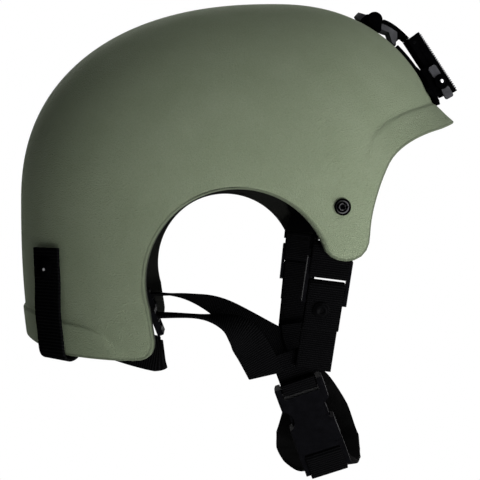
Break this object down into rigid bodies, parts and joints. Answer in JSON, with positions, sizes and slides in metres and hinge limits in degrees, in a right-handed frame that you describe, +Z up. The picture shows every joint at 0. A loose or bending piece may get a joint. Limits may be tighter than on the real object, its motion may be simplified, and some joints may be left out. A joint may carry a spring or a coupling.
{
  "type": "combat helmet",
  "caption": "High-cut combat helmet with a raised brow and nape band, a folding front device mount, padded inside and a chin harness with a side-release buckle and cup.",
  "frame": {"origin": "middle of the helmet between its two round ear cuts, about the centre of the wearer's head, where the helmet is held by a head", "axes": "+X to the front of the helmet, +Y to the wearer's left, +Z up; the shell is tipped brow-up as in the picture, so the harness hangs straight down"},
  "size_m": [0.2745, 0.2314, 0.2838],
  "materials": {
    "shell": "satin fine-grained olive green moulding",
    "mount_base": "satin",
    "housing": "satin black coat",
    "front_plate": "satin",
    "mount_bolt": "dark zinc",
    "mount_nut": "zinc",
    "lock_lever": "satin black coat",
    "lock_pin": "dark zinc",
    "arm": "satin black coat",
    "arm_cover": "satin",
    "arm_pin_rod": "dark zinc",
    "hook_block": "satin",
    "hook_pin_knob": "satin",
    "claw": "satin black coat",
    "side_screw_right": "satin black coat",
    "side_screw_left": "satin black coat",
    "side_washer_right": "matte",
    "side_washer_left": "matte",
    "side_anchor_right": "satin black coat",
    "side_anchor_left": "satin black coat",
    "side_nut_right": "zinc",
    "side_nut_left": "zinc",
    "snap_flap_right": "woven ribbed webbing",
    "snap_flap_left": "woven ribbed webbing",
    "rim_strap_right": "woven ribbed webbing",
    "rim_strap_left": "woven ribbed webbing",
    "snap_cap_right": "gloss black coat",
    "snap_cap_left": "gloss black coat",
    "snap_stud_right": "dark nickel",
    "snap_stud_left": "dark nickel",
    "adjuster_right_part": "satin moulded nylon",
    "adjuster_left_part": "satin moulded nylon",
    "upper_strap_right": "woven ribbed webbing",
    "upper_strap_left": "woven ribbed webbing",
    "front_strap_right": "woven ribbed webbing",
    "front_strap_left": "woven ribbed webbing",
    "strap_button_right": "gloss black coat",
    "strap_button_left": "gloss black coat",
    "rear_strap_right": "woven ribbed webbing",
    "rear_strap_left": "woven ribbed webbing",
    "nape_slider_right": "satin moulded nylon",
    "nape_slider_left": "satin moulded nylon",
    "nape_strap_right": "woven ribbed webbing",
    "nape_strap_left": "woven ribbed webbing",
    "nape_pad": "brushed knit over foam",
    "buckle_strap": "woven ribbed webbing",
    "buckle_socket": "satin moulded nylon",
    "buckle_plug": "satin moulded nylon",
    "prong_front": "satin moulded nylon",
    "prong_rear": "satin moulded nylon",
    "chin_strap": "woven ribbed webbing",
    "chin_cup": "padded webbing",
    "chin_strap_left": "woven ribbed webbing",
    "front_pad": "brushed knit over foam",
    "rear_pad": "brushed knit over foam",
    "crown_pad": "brushed knit over foam",
    "temple_pad_right": "brushed knit over foam",
    "temple_pad_left": "brushed knit over foam",
    "side_pad_right": "brushed knit over foam",
    "side_pad_left": "brushed knit over foam"
  },
  "bodies": {
    "helmet": {"shell": "shell", "mount_base": "mount_base", "housing": "housing", "front_plate": "front_plate", "mount_bolt": "mount_bolt", "mount_nut": "mount_nut", "lock_pin": "lock_pin", "arm": "arm", "arm_cover": "arm_cover", "arm_pin_rod": "arm_pin_rod", "hook_block": "hook_block", "hook_pin_knob": "hook_pin_knob", "side_screw_right": "side_screw_right", "side_screw_left": "side_screw_left", "side_washer_right": "side_washer_right", "side_washer_left": "side_washer_left", "side_anchor_right": "side_anchor_right", "side_anchor_left": "side_anchor_left", "side_nut_right": "side_nut_right", "side_nut_left": "side_nut_left", "rim_strap_right": "rim_strap_right", "rim_strap_left": "rim_strap_left", "snap_stud_right": "snap_stud_right", "snap_stud_left": "snap_stud_left", "adjuster_right_part": "adjuster_right_part", "adjuster_left_part": "adjuster_left_part", "upper_strap_right": "upper_strap_right", "upper_strap_left": "upper_strap_left", "front_strap_right": "front_strap_right", "front_strap_left": "front_strap_left", "strap_button_right": "strap_button_right", "strap_button_left": "strap_button_left", "rear_strap_right": "rear_strap_right", "rear_strap_left": "rear_strap_left", "nape_slider_right": "nape_slider_right", "nape_slider_left": "nape_slider_left", "nape_strap_right": "nape_strap_right", "nape_strap_left": "nape_strap_left", "nape_pad": "nape_pad", "buckle_strap": "buckle_strap", "buckle_socket": "buckle_socket", "chin_cup": "chin_cup", "chin_strap_left": "chin_strap_left", "front_pad": "front_pad", "rear_pad": "rear_pad", "crown_pad": "crown_pad", "temple_pad_right": "temple_pad_right", "temple_pad_left": "temple_pad_left", "side_pad_right": "side_pad_right", "side_pad_left": "side_pad_left"},
    "claw": {"claw": "claw"},
    "lock_lever": {"lock_lever": "lock_lever"},
    "buckle_plug": {"buckle_plug": "buckle_plug", "chin_strap": "chin_strap"},
    "prong_front": {"prong_front": "prong_front"},
    "prong_rear": {"prong_rear": "prong_rear"},
    "snap_tab_right": {"snap_flap_right": "snap_flap_right", "snap_cap_right": "snap_cap_right"},
    "snap_tab_left": {"snap_flap_left": "snap_flap_left", "snap_cap_left": "snap_cap_left"}
  },
  "joints": [
    {"name": "claw_hinge", "type": "hinge", "parent": "helmet", "child": "claw", "pos_m": [0.0886, 0, 0.1584], "axis": [0, 1, 0], "range_deg": [0, 60]},
    {"name": "lock_lever_turn", "type": "hinge", "parent": "helmet", "child": "lock_lever", "pos_m": [0.1308, -0.0088, 0.11986], "axis": [0, 1, 0], "range_deg": [0, 18]},
    {"name": "buckle_release", "type": "slide", "parent": "helmet", "child": "buckle_plug", "axis": [0.3397, 0.1934, -0.9205], "range_m": [0, 0.022]},
    {"name": "prong_front_squeeze", "type": "hinge", "parent": "buckle_plug", "child": "prong_front", "pos_m": [0.0552, -0.07307, -0.08947], "axis": [-0.0264, -0.9763, -0.2148], "range_deg": [0, 6], "stiffness_Nm_per_rad": 0.15},
    {"name": "prong_rear_squeeze", "type": "hinge", "parent": "buckle_plug", "child": "prong_rear", "pos_m": [0.03809, -0.0713, -0.09542], "axis": [0.0264, 0.9763, 0.2148], "range_deg": [0, 6], "stiffness_Nm_per_rad": 0.15},
    {"name": "snap_tab_right_open", "type": "hinge", "parent": "helmet", "child": "snap_tab_right", "pos_m": [-0.10874, -0.06792, -0.01358], "axis": [0.6619, -0.7496, 0], "range_deg": [0, 70]},
    {"name": "snap_tab_left_open", "type": "hinge", "parent": "helmet", "child": "snap_tab_left", "pos_m": [-0.10874, 0.06792, -0.01358], "axis": [-0.6619, -0.7496, 0], "range_deg": [0, 70]}
  ],
  "couplings": [
    {"joint": "prong_rear_squeeze", "follows": "prong_front_squeeze", "ratio": 1}
  ]
}
